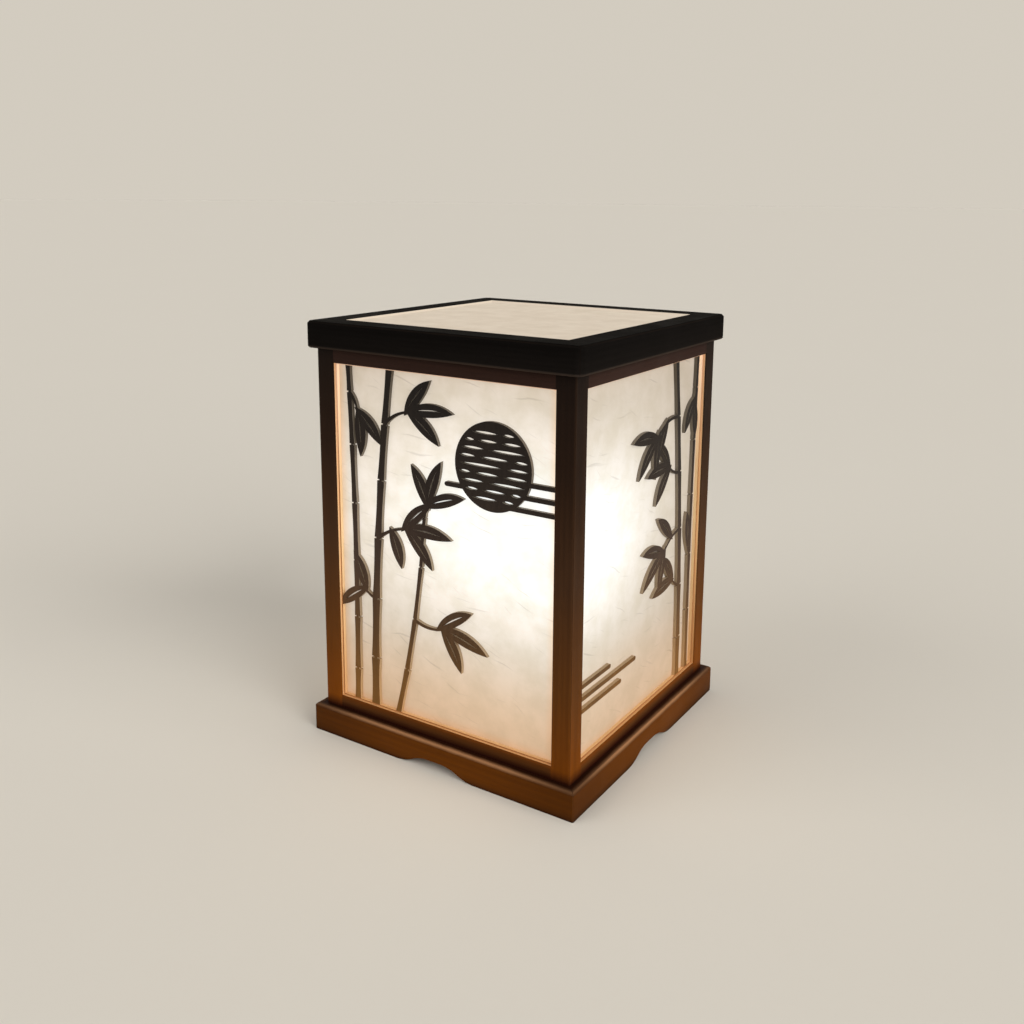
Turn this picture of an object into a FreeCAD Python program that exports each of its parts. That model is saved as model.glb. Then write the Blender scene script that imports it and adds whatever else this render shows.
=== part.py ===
import FreeCAD, Part
import math
import os

# Andon floor lamp: a square wooden lantern frame on a plinth, with paper panes,
# pierced fretwork on two sides, a lift-off cap and a screw-in bulb on a stem.
# Millimetres, +Z up. The origin is the centre of the plinth's underside, on the floor.
# Front is -Y and right is +X.

Vector = FreeCAD.Vector

# Lantern body
body_width = 330.0
post_face = 23.0
opening_height = 391.0
bottom_rail_height = 14.5
top_rail_height = 16.0
lip_thickness = 4.0
rebate_width = 6.0
opening_chamfer = 1.2
post_arris_radius = 1.0

# Stub tenons of the rails, and the bores on each post's axis
tenon_length = 5.0
tenon_thickness = 6.0
tenon_setback = 3.5
tenon_shoulder = 1.5
post_bore_setback = 7.5

# Sheets and beads that fill each side
fret_thickness = 4.0
border_reveal = 1.2
pane_thickness = 1.0
bead_depth = 6.0
sheet_gap = 0.15

# Plinth
plinth_overhang = 10.5
plinth_height = 32.0
plinth_rail_width = 30.0
plinth_chamfer = 2.6
plinth_corner_radius = 2.0
arch_half_width = 54.0
arch_height = 11.0
arch_flat_half_width = 8.0
board_thickness = 8.0
board_ledge = 8.0
glue_block_leg = 24.0
glue_block_height = 18.0

# Screws that hold the posts on the plinth
screw_diameter = 4.0
screw_head_diameter = 8.0
screw_head_height = 2.6
screw_length = 38.0
screw_socket_width = 2.4
screw_socket_depth = 1.3
screw_sink = 12.0
close_fit = 0.05

# Cap
cap_overhang = 9.5
cap_height = 29.5
cap_rail_width = 32.0
cap_corner_radius = 8.0
cap_top_chamfer = 2.5
cap_bottom_chamfer = 1.5
cap_lip_thickness = 2.5
cap_bead_depth = 6.0
key_length = 18.0
key_width = 12.0
key_thickness = 3.0
key_height = 16.5
dowel_diameter = 6.0
dowel_length = 20.0
dowel_projection = 8.0
dowel_clearance = 0.3
dowel_chamfer = 1.0
dowel_end_gap = 0.5

# Stem that carries the lampholder
pipe_diameter = 10.0
pipe_bore = 7.0
pipe_tail = 10.0
pipe_hole_clearance = 0.2
flange_diameter = 64.0
flange_edge = 4.0
flange_step_diameter = 34.0
flange_step_height = 8.0
flange_height = 14.0
flange_neck_diameter = 18.0
washer_diameter = 24.0
washer_thickness = 1.5
nut_across_flats = 17.0
nut_thickness = 5.0

# Lampholder
holder_base_height = 140.0
holder_boss_diameter = 18.0
holder_boss_height = 10.0
holder_shoulder_height = 6.0
holder_floor = 7.0
holder_depth = 31.0
holder_wall = 4.5
holder_rim_chamfer = 1.5
sleeve_wall = 0.6
sleeve_length = 24.0
sleeve_clearance = 0.35
contact_diameter = 9.0
contact_thickness = 1.6

# Screw-in bulb: a tubular glass in a screw cap
bulb_cap_diameter = 26.0
bulb_cap_length = 22.0
bulb_cap_wall = 0.8
bulb_insulator_diameter = 17.0
bulb_insulator_height = 4.0
bulb_tip_diameter = 9.0
bulb_tip_height = 1.4
bulb_tip_chamfer = 0.6
bulb_tip_gap = 0.3
bulb_length = 112.0
glass_diameter = 40.0
glass_wall = 1.2
glass_collar_height = 4.0
glass_shoulder_height = 7.0
glass_crown_height = 7.0
glass_crown_inset = 9.0
neck_insertion = 6.0

# Fretwork sizes
tall_cane_width = 11.0
edge_cane_width = 8.0
short_cane_width = 7.0
cane_core_share = 0.42
cane_flare_share = 1.10
cane_waist_share = 0.92
joint_slit = 1.8
twig_foot_width = 4.2
twig_tip_width = 2.6
leaf_length = 54.0
leaf_width = 15.0
leaf_overlap = 5.0
leaf_droop_share = 0.05
vein_width = 1.5
vein_end_shares = (0.22, 0.78)
moon_radius = 47.0
moon_rim = 4.0
mist_slit = 3.2
mist_pitch = 8.6
mist_bridge = 5.0
mist_bar_height = 5.0

# Where the slits of each row in the moon are bridged, as shares of the row's half length
mist_bridge_shares = ((0.35,), (-0.45, 0.55), (-0.2,), (-0.6, 0.25))

# Canes: foot and top across the opening, top up the opening, bow to the left as a share of
# the height, width at the foot, share lost to taper, and joints along the cane
front_canes = {
    "tall": {
        "foot_share": -0.330, "top_shares": (-0.235, 1.0), "bow_share": 0.016,
        "width": tall_cane_width, "taper_share": 0.30, "joint_shares": (0.15, 0.33, 0.51, 0.68, 0.84),
    },
    "edge": {
        "foot_share": -0.425, "top_shares": (-0.440, 1.0), "bow_share": -0.010,
        "width": edge_cane_width, "taper_share": 0.25,
        "joint_shares": (0.10, 0.26, 0.43, 0.60, 0.77, 0.92),
    },
    "short": {
        "foot_share": -0.215, "top_shares": (-0.075, 0.60), "bow_share": -0.014,
        "width": short_cane_width, "taper_share": 0.45, "joint_shares": (0.24, 0.50, 0.76),
    },
}
right_canes = {
    "tall": {
        "foot_share": 0.350, "top_shares": (0.250, 1.0), "bow_share": -0.018,
        "width": tall_cane_width, "taper_share": 0.35, "joint_shares": (0.13, 0.30, 0.48, 0.66, 0.83),
    },
    "edge": {
        "foot_share": 0.440, "top_shares": (0.455, 1.0), "bow_share": 0.008,
        "width": edge_cane_width, "taper_share": 0.25, "joint_shares": (0.20, 0.38, 0.57, 0.74, 0.90),
    },
}

# Sprays: cane, joint along it, twig angle, twig reach as a share of the opening's width, bow as
# a share of that reach, and leaves as (share along the twig, angle, share of the leaf length).
# Angles are in degrees, anticlockwise from the right.
front_sprays = [
    ("tall", 0.84, 28, 0.13, 0.10, [(1.0, -38, 0.95), (1.0, 4, 1.10), (0.95, 50, 0.90)]),
    ("tall", 0.51, 24, 0.15, 0.08, [(1.0, -48, 1.0), (1.0, -2, 1.15), (0.95, 42, 0.95), (0.5, -70, 0.8)]),
    ("tall", 0.33, 152, 0.06, 0.10, [(1.0, 112, 0.85), (1.0, 214, 0.9)]),
    ("short", 0.50, -4, 0.13, -0.10, [(1.0, -60, 0.95), (1.0, -16, 1.15), (0.9, 32, 0.95)]),
    ("short", 1.00, 72, 0.05, 0.05, [(0.9, 116, 0.9), (1.0, 70, 1.0), (0.9, 18, 0.95)]),
    ("edge", 0.92, -62, 0.08, 0.10, [(1.0, -86, 0.95), (1.0, -46, 0.9)]),
]
right_sprays = [
    ("tall", 0.83, 196, 0.20, -0.12, [(1.0, 176, 1.1), (1.0, 222, 1.1), (0.9, 262, 0.95), (0.5, 240, 0.9)]),
    ("tall", 0.66, 158, 0.11, 0.10, [(1.0, 134, 0.9), (1.0, 182, 1.05), (0.9, 226, 0.95)]),
    ("tall", 0.48, 204, 0.16, -0.10, [(1.0, 168, 1.05), (1.0, 212, 1.15), (0.9, 254, 1.0), (0.5, 140, 0.9)]),
    ("tall", 0.30, 150, 0.08, 0.08, [(1.0, 128, 0.85), (1.0, 186, 1.0)]),
    ("edge", 0.38, 118, 0.05, 0.05, [(1.0, 96, 0.8)]),
    ("edge", 0.90, 248, 0.06, 0.05, [(1.0, 276, 0.85), (0.9, 236, 0.8)]),
]

# Moon centre, and level bars of mist as (left end, right end, height), in shares of the
# opening; a bar's end at half the width runs into the border
moon_centre_shares = (0.235, 0.775)
front_mist_shares = [
    (0.030, 0.500, 0.709),
    (0.240, 0.500, 0.744),
    (0.200, 0.500, 0.674),
]
right_mist_shares = [
    (-0.500, -0.060, 0.170),
    (-0.500, -0.270, 0.205),
    (-0.500, -0.180, 0.135),
]

# Shared by all cuts
overrun = 2.0

# Worked-out places
body_half = body_width / 2
opening_half = body_half - post_face
opening_width = 2 * opening_half
core_half = opening_half + rebate_width
lip_back = body_half - lip_thickness
fret_back = lip_back - fret_thickness
pane_back = fret_back - pane_thickness
bead_back = pane_back - bead_depth
post_bore_place = body_half - post_bore_setback

opening_bottom = plinth_height + bottom_rail_height
opening_top = opening_bottom + opening_height
body_top = opening_top + top_rail_height
sheet_bottom = opening_bottom - rebate_width
sheet_top = opening_top + rebate_width
rail_cores = {"bottom": (plinth_height, sheet_bottom), "top": (sheet_top, body_top)}
rail_lips = {"bottom": (plinth_height, opening_bottom), "top": (opening_top, body_top)}

plinth_half = body_half + plinth_overhang
plinth_inner_half = plinth_half - plinth_rail_width
board_half = plinth_inner_half + board_ledge
board_bottom = plinth_height - board_thickness

cap_half = body_half + cap_overhang
cap_inner_half = cap_half - cap_rail_width
cap_rebate_half = cap_inner_half + rebate_width
cap_top = body_top + cap_height
cap_pane_top = cap_top - cap_lip_thickness
cap_pane_bottom = cap_pane_top - pane_thickness
dowel_bottom = body_top - dowel_projection
dowel_top = dowel_bottom + dowel_length

pipe_radius = pipe_diameter / 2
holder_pipe_stop = holder_base_height + holder_boss_height
holder_floor_top = holder_pipe_stop + holder_floor
bulb_cap_radius = bulb_cap_diameter / 2
sleeve_inner_radius = bulb_cap_radius + sleeve_clearance
sleeve_outer_radius = sleeve_inner_radius + sleeve_wall
bulb_bottom = holder_floor_top + contact_thickness + bulb_tip_gap
bulb_tip_top = bulb_bottom + bulb_tip_height
bulb_cap_bottom = bulb_tip_top + bulb_insulator_height
bulb_cap_top = bulb_cap_bottom + bulb_cap_length

side_names = ("front", "right", "back", "left")
post_names = ("front_right", "back_right", "back_left", "front_left")


def box(x_range, y_range, z_range):
    """A block between two places on each axis."""
    corner = Vector(x_range[0], y_range[0], z_range[0])
    size = [high - low for low, high in (x_range, y_range, z_range)]
    return Part.makeBox(size[0], size[1], size[2], corner)


def square_block(half, z_range):
    """A square block centred on the lamp's axis."""
    return box((-half, half), (-half, half), z_range)


def rod(radius, z_range):
    """A round bar on the lamp's axis."""
    return Part.makeCylinder(radius, z_range[1] - z_range[0], Vector(0, 0, z_range[0]))


def at_post(shape):
    """A shape on the lamp's axis, moved to the axis of the front right post."""
    shape.translate(Vector(post_bore_place, -post_bore_place, 0))
    return shape


def turned(shape, quarter_turns):
    """A copy turned about the lamp's axis: front to right, back and left."""
    copy = shape.copy()
    copy.rotate(Vector(0, 0, 0), Vector(0, 0, 1), 90 * quarter_turns)
    return copy


def four(shape):
    """The shape at all four sides or corners, as one group."""
    return Part.makeCompound([turned(shape, turns) for turns in range(4)])


def both_ends(shape):
    """The shape and its mirror image across the lamp's middle, as one group."""
    return Part.makeCompound([shape, shape.mirror(Vector(0, 0, 0), Vector(1, 0, 0))])


def prism(points, direction):
    """A straight-sided solid on a polygon."""
    wire = Part.makePolygon(points + [points[0]])
    return Part.Face(wire).extrude(direction)


def revolved(profile):
    """A turned solid, from (radius, height) points in order round its section."""
    points = [Vector(radius, 0, height) for radius, height in profile]
    wire = Part.makePolygon(points + [points[0]])
    return Part.Face(wire).revolve(Vector(0, 0, 0), Vector(0, 0, 1), 360)


def upright_corner_edges(shape, half):
    """The shape's vertical edges at the corners of a square."""
    found = []
    for edge in shape.Edges:
        middle = edge.CenterOfMass
        is_upright = edge.BoundBox.ZLength > max(edge.BoundBox.XLength, edge.BoundBox.YLength)
        if is_upright and math.isclose(min(abs(middle.x), abs(middle.y)), half, abs_tol=close_fit):
            found.append(edge)
    return found


def level_edges(shape, height):
    """All of the shape's edges at one height."""
    found = []
    for edge in shape.Edges:
        is_level = edge.BoundBox.ZLength < close_fit
        if is_level and math.isclose(edge.CenterOfMass.z, height, abs_tol=close_fit):
            found.append(edge)
    return found


def mitred_sides(ring, half, z_range):
    """A square ring's four rails, front first, parted at its mitres."""
    reach = half + overrun
    corners = [
        Vector(0, 0, z_range[0]),
        Vector(-reach, -reach, z_range[0]),
        Vector(reach, -reach, z_range[0]),
    ]
    wedge = prism(corners, Vector(0, 0, z_range[1] - z_range[0]))
    return [ring.common(turned(wedge, turns)) for turns in range(4)]


# Plinth: four mitred rails with a low arch under each, a board let in flush, and glue blocks

def arch_cutter():
    """The space under the front rail: a flat crown between two S curves."""
    rise = arch_height / 2
    run = (arch_half_width - arch_flat_half_width) / 2
    radius = (run ** 2 + rise ** 2) / (2 * rise)
    sag = radius - math.sqrt(radius ** 2 - (run / 2) ** 2)

    def place(x, z, side):
        return Vector(side * x, -plinth_half - overrun, z)

    def half_edges(side):
        foot = place(arch_half_width, 0, side)
        low_middle = place(arch_half_width - run / 2, sag, side)
        turn = place(arch_half_width - run, rise, side)
        high_middle = place(arch_flat_half_width + run / 2, arch_height - sag, side)
        crown = place(arch_flat_half_width, arch_height, side)
        return [Part.Arc(foot, low_middle, turn).toShape(), Part.Arc(turn, high_middle, crown).toShape()]

    crown_ends = [place(arch_flat_half_width, arch_height, side) for side in (1, -1)]
    foot_ends = [place(arch_half_width, 0, side) for side in (-1, 1)]
    crown_line = Part.makeLine(*crown_ends)
    floor_line = Part.makeLine(*foot_ends)
    edges = half_edges(1) + [crown_line] + half_edges(-1)[::-1] + [floor_line]
    depth = plinth_rail_width + 2 * overrun
    return Part.Face(Part.Wire(edges)).extrude(Vector(0, depth, 0))


def plinth_bevel():
    """What comes off the front rail's upper outside edge."""
    reach = plinth_half + overrun
    low = plinth_height - plinth_chamfer
    section = [
        (overrun - plinth_half + plinth_chamfer, plinth_height + overrun),
        (-plinth_half - overrun, plinth_height + overrun),
        (-plinth_half - overrun, low - overrun),
    ]
    return prism([Vector(-reach, y, z) for y, z in section], Vector(2 * reach, 0, 0))


def make_plinth():
    z_range = (0, plinth_height)
    ring = square_block(plinth_half, z_range)
    ring = ring.makeFillet(plinth_corner_radius, upright_corner_edges(ring, plinth_half))
    ring = ring.cut(four(plinth_bevel()))
    ring = ring.cut(square_block(plinth_inner_half, z_range))
    ring = ring.cut(square_block(board_half, (board_bottom, plinth_height)))
    ring = ring.cut(four(arch_cutter()))
    shank_hole = rod(screw_diameter / 2 + close_fit, z_range)
    head_hole = rod(screw_head_diameter / 2 + close_fit, (0, screw_sink))
    ring = ring.cut(four(at_post(shank_hole.fuse(head_hole))))
    rails = mitred_sides(ring, plinth_half, z_range)
    return {"plinth_rail_" + name: rail for name, rail in zip(side_names, rails)}


def make_base_board():
    z_range = (board_bottom, plinth_height)
    board = square_block(board_half - sheet_gap, z_range)
    return {"base_board": board.cut(rod(pipe_radius + pipe_hole_clearance, z_range))}


def make_glue_blocks():
    """Three-cornered blocks in the plinth's corners, glued under the board."""
    corner = plinth_inner_half
    bottom = board_bottom - glue_block_height
    points = [
        Vector(corner, -corner, bottom),
        Vector(corner - glue_block_leg, -corner, bottom),
        Vector(corner, glue_block_leg - corner, bottom),
    ]
    return {"glue_blocks": four(prism(points, Vector(0, 0, glue_block_height)))}


def make_post_screws():
    """Screws driven up through the plinth's corners into the feet of the posts."""
    head_bottom = screw_sink - screw_head_height
    head = rod(screw_head_diameter / 2, (head_bottom, screw_sink))
    shank = rod(screw_diameter / 2, (screw_sink, screw_sink + screw_length))
    socket = square_block(screw_socket_width / 2, (head_bottom, head_bottom + screw_socket_depth))
    screw = head.fuse(shank).cut(socket)
    return {"post_screws": four(at_post(screw))}


# Lantern frame: four rebated posts and eight rebated rails with stub tenons

def opening_bevel():
    """A frustum that bevels the front opening's edges, mitred at its corners."""
    def rectangle(grow, y):
        x = opening_half + grow
        low = opening_bottom - grow
        high = opening_top + grow
        corners = [(-x, low), (x, low), (x, high), (-x, high), (-x, low)]
        return Part.makePolygon([Vector(corner_x, y, z) for corner_x, z in corners])

    outer = rectangle(opening_chamfer + overrun, -body_half - overrun)
    inner = rectangle(0, opening_chamfer - body_half)
    return Part.makeLoft([outer, inner], True, True)


def tenon(core_range, clearance):
    """The tenon at the right-hand end of a front rail, or the mortise for it."""
    outer = body_half - tenon_setback
    return box(
        (core_half, core_half + tenon_length + clearance),
        (-outer - clearance, tenon_thickness - outer + clearance),
        (core_range[0] + tenon_shoulder - clearance, core_range[1] - tenon_shoulder + clearance),
    )


def make_rails():
    nodes = {}
    for level, core_range in rail_cores.items():
        lip = box((-opening_half, opening_half), (-body_half, -lip_back), rail_lips[level])
        core = box((-core_half, core_half), (-lip_back, -core_half), core_range)
        tenons = both_ends(tenon(core_range, 0))
        rail = lip.multiFuse([core] + tenons.Solids).removeSplitter().cut(opening_bevel())
        for turns, name in enumerate(side_names):
            nodes[level + "_rail_" + name] = turned(rail, turns)
    return nodes


def make_posts():
    section = [
        (body_half, -body_half),
        (body_half, -opening_half),
        (lip_back, -opening_half),
        (lip_back, -core_half),
        (core_half, -core_half),
        (core_half, -lip_back),
        (opening_half, -lip_back),
        (opening_half, -body_half),
    ]
    points = [Vector(x, y, plinth_height) for x, y in section]
    post = prism(points, Vector(0, 0, body_top - plinth_height))
    post = post.makeFillet(post_arris_radius, upright_corner_edges(post, body_half))
    mortises = Part.makeCompound([tenon(core_range, close_fit) for core_range in rail_cores.values()])
    for turns in (0, 1):
        post = post.cut(turned(both_ends(mortises), turns)).cut(turned(opening_bevel(), turns))
    screw_hole = rod(screw_diameter / 2 + close_fit, (plinth_height, screw_sink + screw_length))
    dowel_hole = rod(dowel_diameter / 2 + dowel_clearance, (dowel_bottom - dowel_end_gap, body_top))
    post = post.cut(at_post(screw_hole)).cut(at_post(dowel_hole))
    return {"corner_post_" + name: turned(post, turns) for turns, name in enumerate(post_names)}


# Side sheets: everything that lies behind a frame opening, drawn for the front

def make_panes_and_beads():
    """Each side's paper pane, and the four beads that hold its sheets in the rebates."""
    pane_half = core_half - sheet_gap
    pane_height = (sheet_bottom + sheet_gap, sheet_top - sheet_gap)
    pane = box((-pane_half, pane_half), (-fret_back, -pane_back), pane_height)
    bead_range = (-pane_back, -bead_back)
    upright = both_ends(box((opening_half, core_half), bead_range, (sheet_bottom, sheet_top)))
    across = Part.makeCompound([
        box((-opening_half, opening_half), bead_range, (sheet_bottom, opening_bottom)),
        box((-opening_half, opening_half), bead_range, (opening_top, sheet_top)),
    ])
    nodes = {}
    for turns, name in enumerate(side_names):
        nodes["paper_pane_" + name] = turned(pane, turns)
        nodes["upright_beads_" + name] = turned(upright, turns)
        nodes["cross_beads_" + name] = turned(across, turns)
    return nodes


def sheet_border():
    """The border of a side's pierced sheet, held in the rebate behind the frame's lip."""
    outer_half = core_half - sheet_gap
    inner_half = opening_half - border_reveal
    y_range = (-lip_back, -fret_back)
    outer = box((-outer_half, outer_half), y_range, (sheet_bottom + sheet_gap, sheet_top - sheet_gap))
    window = (opening_bottom + border_reveal, opening_top - border_reveal)
    return outer.cut(box((-inner_half, inner_half), y_range, window))


# Fretwork: flat outlines drawn as seen from outside, then cut from one sheet.
# A place is (across, up), measured from the middle of the opening's lower edge.

def polar(point, angle, distance):
    """The place at a distance from a point, at an angle in degrees up from the right."""
    turn = math.radians(angle)
    return (point[0] + distance * math.cos(turn), point[1] + distance * math.sin(turn))


def between(start, end, share):
    """The place at a share of the way from start to end."""
    return tuple(low + (high - low) * share for low, high in zip(start, end))


def angle_to(start, end):
    """The direction from one place to another, in degrees."""
    return math.degrees(math.atan2(end[1] - start[1], end[0] - start[0]))


def sheet_point(place):
    """A flat place as a point on the front sheet's outer face."""
    return Vector(place[0], -lip_back, opening_bottom + place[1])


def arc(start, middle, end):
    return Part.Arc(sheet_point(start), sheet_point(middle), sheet_point(end)).toShape()


def line(start, end):
    return Part.makeLine(sheet_point(start), sheet_point(end))


def cut_out(edges):
    """The sheet's full thickness inside a closed outline."""
    return Part.Face(Part.Wire(edges)).extrude(Vector(0, fret_thickness, 0))


def band(start, end, bow, widths, lean=0):
    """A stem with arcs for sides. Its middle stands off the chord by bow, to the left, its
    widths are at the start, middle and end, and its ends are turned by lean."""
    angle = angle_to(start, end)
    middle = polar(between(start, end, 0.5), angle + 90, bow)
    left, right = [
        [
            polar(start, angle + lean + 90, side * widths[0] / 2),
            polar(middle, angle + 90, side * widths[1] / 2),
            polar(end, angle - lean + 90, side * widths[2] / 2),
        ]
        for side in (1, -1)
    ]
    return cut_out([arc(*left), line(left[2], right[2]), arc(*right[::-1]), line(right[0], left[0])])


def end_lean(start, end, bow):
    """How far an arc with this bow turns off its chord at its ends, in degrees."""
    return math.degrees(2 * math.atan2(2 * bow, math.dist(start, end)))


def blade(start, end, bow, width):
    """A leaf-shaped outline: two arcs that meet in points."""
    angle = angle_to(start, end)
    middle = between(start, end, 0.5)
    left = polar(middle, angle + 90, bow + width / 2)
    right = polar(middle, angle + 90, bow - width / 2)
    return cut_out([arc(start, left, end), arc(end, right, start)])


def leaf(foot, angle, length):
    """A leaf that bows upward and its pierced midrib."""
    start = polar(foot, angle, -leaf_overlap)
    tip = polar(foot, angle, length)
    bow = leaf_droop_share * length * math.copysign(1, math.cos(math.radians(angle)))
    vein_start = between(start, tip, vein_end_shares[0])
    vein_end = between(start, tip, vein_end_shares[1])
    crown = math.dist(vein_start, vein_end) / math.dist(start, tip)
    rise = bow * (1 - crown ** 2)
    offset = polar((0, 0), angle + 90, rise)
    vein_ends = [(place[0] + offset[0], place[1] + offset[1]) for place in (vein_start, vein_end)]
    return blade(start, tip, bow, leaf_width), blade(vein_ends[0], vein_ends[1], bow - rise, vein_width)


def bowed_place(start, end, bow, share):
    """A place at a share of the way along a stem whose middle stands off by bow."""
    offset = bow * 4 * share * (1 - share)
    return polar(between(start, end, share), angle_to(start, end) + 90, offset)


def cane_line(cane):
    """A cane's foot, top and bow. Both ends run into the sheet's border."""
    foot = (cane["foot_share"] * opening_width, -border_reveal)
    across_share, up_share = cane["top_shares"]
    top = (across_share * opening_width, up_share * (opening_height + border_reveal))
    return foot, top, cane["bow_share"] * opening_height


def cane_width(cane, share):
    """A cane's width at a share of the way up, tapering towards its top."""
    return cane["width"] * (1 - cane["taper_share"] * share)


def cane_pieces(cane):
    """A bamboo cane: flared lengths with a slit at each joint, bridged by a thin core."""
    foot, top, bow = cane_line(cane)
    core_widths = [cane_core_share * cane_width(cane, share) for share in (0, 0.5, 1)]
    pieces = [band(foot, top, bow, core_widths, end_lean(foot, top, bow))]
    stops = [0] + list(cane["joint_shares"]) + [1]
    for low, high in zip(stops, stops[1:]):
        start = bowed_place(foot, top, bow, low)
        end = bowed_place(foot, top, bow, high)
        angle = angle_to(start, end)
        width = cane_width(cane, (low + high) / 2)
        flare = width * cane_flare_share
        segment_start = polar(start, angle, joint_slit / 2)
        segment_end = polar(end, angle, -joint_slit / 2)
        segment_widths = (flare, width * cane_waist_share, flare)
        pieces.append(band(segment_start, segment_end, 0, segment_widths))
    return pieces


def spray_pieces(canes, spray):
    """A twig that leaves a cane at a joint, its leaves, and their pierced midribs."""
    cane_name, joint_share, angle, reach_share, bow_share, leaves = spray
    foot = bowed_place(*cane_line(canes[cane_name]), joint_share)
    reach = reach_share * opening_width
    bow = bow_share * reach
    tip = polar(foot, angle, reach)
    widths = (twig_foot_width, (twig_foot_width + twig_tip_width) / 2, twig_tip_width)
    solids = [band(foot, tip, bow, widths, end_lean(foot, tip, bow))]
    slits = []
    for share, leaf_angle, length_share in leaves:
        base = bowed_place(foot, tip, bow, share)
        body, midrib = leaf(base, leaf_angle, leaf_length * length_share)
        solids.append(body)
        slits.append(midrib)
    return solids, slits


def rounded_bar(left, right, height, thickness):
    """A level bar with round ends."""
    radius = thickness / 2
    low, high = height - radius, height + radius
    return cut_out([
        line((left, low), (right, low)),
        arc((right, low), (right + radius, height), (right, high)),
        line((right, high), (left, high)),
        arc((left, high), (left - radius, height), (left, low)),
    ])


def mist_bars(bar_shares):
    bars = []
    for left_share, right_share, height_share in bar_shares:
        left, right = left_share * opening_width, right_share * opening_width
        bars.append(rounded_bar(left, right, height_share * opening_height, mist_bar_height))
    return bars


def moon_pieces():
    """A full moon, and the staggered slits of mist that pierce it."""
    across = moon_centre_shares[0] * opening_width
    up = moon_centre_shares[1] * opening_height
    left = (across - moon_radius, up)
    right = (across + moon_radius, up)
    crown = (across, up + moon_radius)
    foot = (across, up - moon_radius)
    disc = cut_out([arc(left, crown, right), arc(right, foot, left)])
    slits = []
    clear_radius = moon_radius - moon_rim
    rows = int(clear_radius / mist_pitch)
    for row in range(-rows, rows + 1):
        half = math.sqrt(clear_radius ** 2 - (row * mist_pitch) ** 2)
        bridges = [share * half for share in mist_bridge_shares[row % len(mist_bridge_shares)]]
        starts = [-half] + [bridge + mist_bridge / 2 for bridge in bridges]
        ends = [bridge - mist_bridge / 2 for bridge in bridges] + [half]
        for start, end in zip(starts, ends):
            if end - start > 2 * mist_bridge:
                height = up + row * mist_pitch
                slits.append(blade((across + start, height), (across + end, height), 0, mist_slit))
    return [disc], slits


def fretwork(canes, sprays, bar_shares, with_moon):
    """One sheet: its border, and everything that grows from it."""
    solids = mist_bars(bar_shares)
    slits = []
    for cane in canes.values():
        solids += cane_pieces(cane)
    groups = [spray_pieces(canes, spray) for spray in sprays]
    if with_moon:
        groups.append(moon_pieces())
    for group_solids, group_slits in groups:
        solids += group_solids
        slits += group_slits
    return sheet_border().multiFuse(solids).cut(Part.makeCompound(slits)).removeSplitter()


def make_side_sheets():
    return {
        "fretwork_front": fretwork(front_canes, front_sprays, front_mist_shares, True),
        "fretwork_right": turned(fretwork(right_canes, right_sprays, right_mist_shares, False), 1),
        "plain_border_back": turned(sheet_border(), 2),
        "plain_border_left": turned(sheet_border(), 3),
    }


# Cap: four mitred rails keyed at the corners, a pane under a thin lip, beads and dowels

def cap_key():
    """A loose tongue across the mitre at the front right corner."""
    middle = (cap_rebate_half + cap_half) / 2
    height = body_top + key_height
    key = box((-key_length / 2, key_length / 2), (-key_width / 2, key_width / 2), (0, key_thickness))
    key.rotate(Vector(0, 0, 0), Vector(0, 0, 1), 45)
    key.translate(Vector(middle, -middle, height - key_thickness / 2))
    return key


def make_cap():
    z_range = (body_top, cap_top)
    ring = square_block(cap_half, z_range)
    ring = ring.makeFillet(cap_corner_radius, upright_corner_edges(ring, cap_half))
    ring = ring.makeChamfer(cap_top_chamfer, level_edges(ring, cap_top))
    ring = ring.makeChamfer(cap_bottom_chamfer, level_edges(ring, body_top))
    ring = ring.cut(square_block(cap_inner_half, z_range))
    ring = ring.cut(square_block(cap_rebate_half, (body_top, cap_pane_top)))
    dowel_bore = rod(dowel_diameter / 2 + close_fit, (body_top, dowel_top))
    ring = ring.cut(four(at_post(dowel_bore))).cut(four(cap_key()))
    rails = mitred_sides(ring, cap_half, z_range)
    nodes = {"cap_rail_" + name: rail for name, rail in zip(side_names, rails)}
    nodes["cap_mitre_keys"] = four(cap_key())
    return nodes


def make_cap_pane_and_beads():
    """The paper under the cap's lip, and the beads that hold it, each butted on the next."""
    pane = square_block(cap_rebate_half - sheet_gap, (cap_pane_bottom, cap_pane_top))
    bead = box(
        (-cap_rebate_half, cap_inner_half - sheet_gap),
        (-cap_rebate_half, -cap_inner_half),
        (cap_pane_bottom - cap_bead_depth, cap_pane_bottom),
    )
    return {"paper_pane_cap": pane, "cap_beads": four(bead)}


def make_dowels():
    """Dowels that stand out of the cap's corners and drop into the posts."""
    radius = dowel_diameter / 2
    dowel = revolved([
        (0, dowel_bottom),
        (radius - dowel_chamfer, dowel_bottom),
        (radius, dowel_bottom + dowel_chamfer),
        (radius, dowel_top),
        (0, dowel_top),
    ])
    return {"cap_dowels": four(at_post(dowel))}


# Stem: a threaded pipe through the board, clamped between a turned flange and a nut

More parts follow.
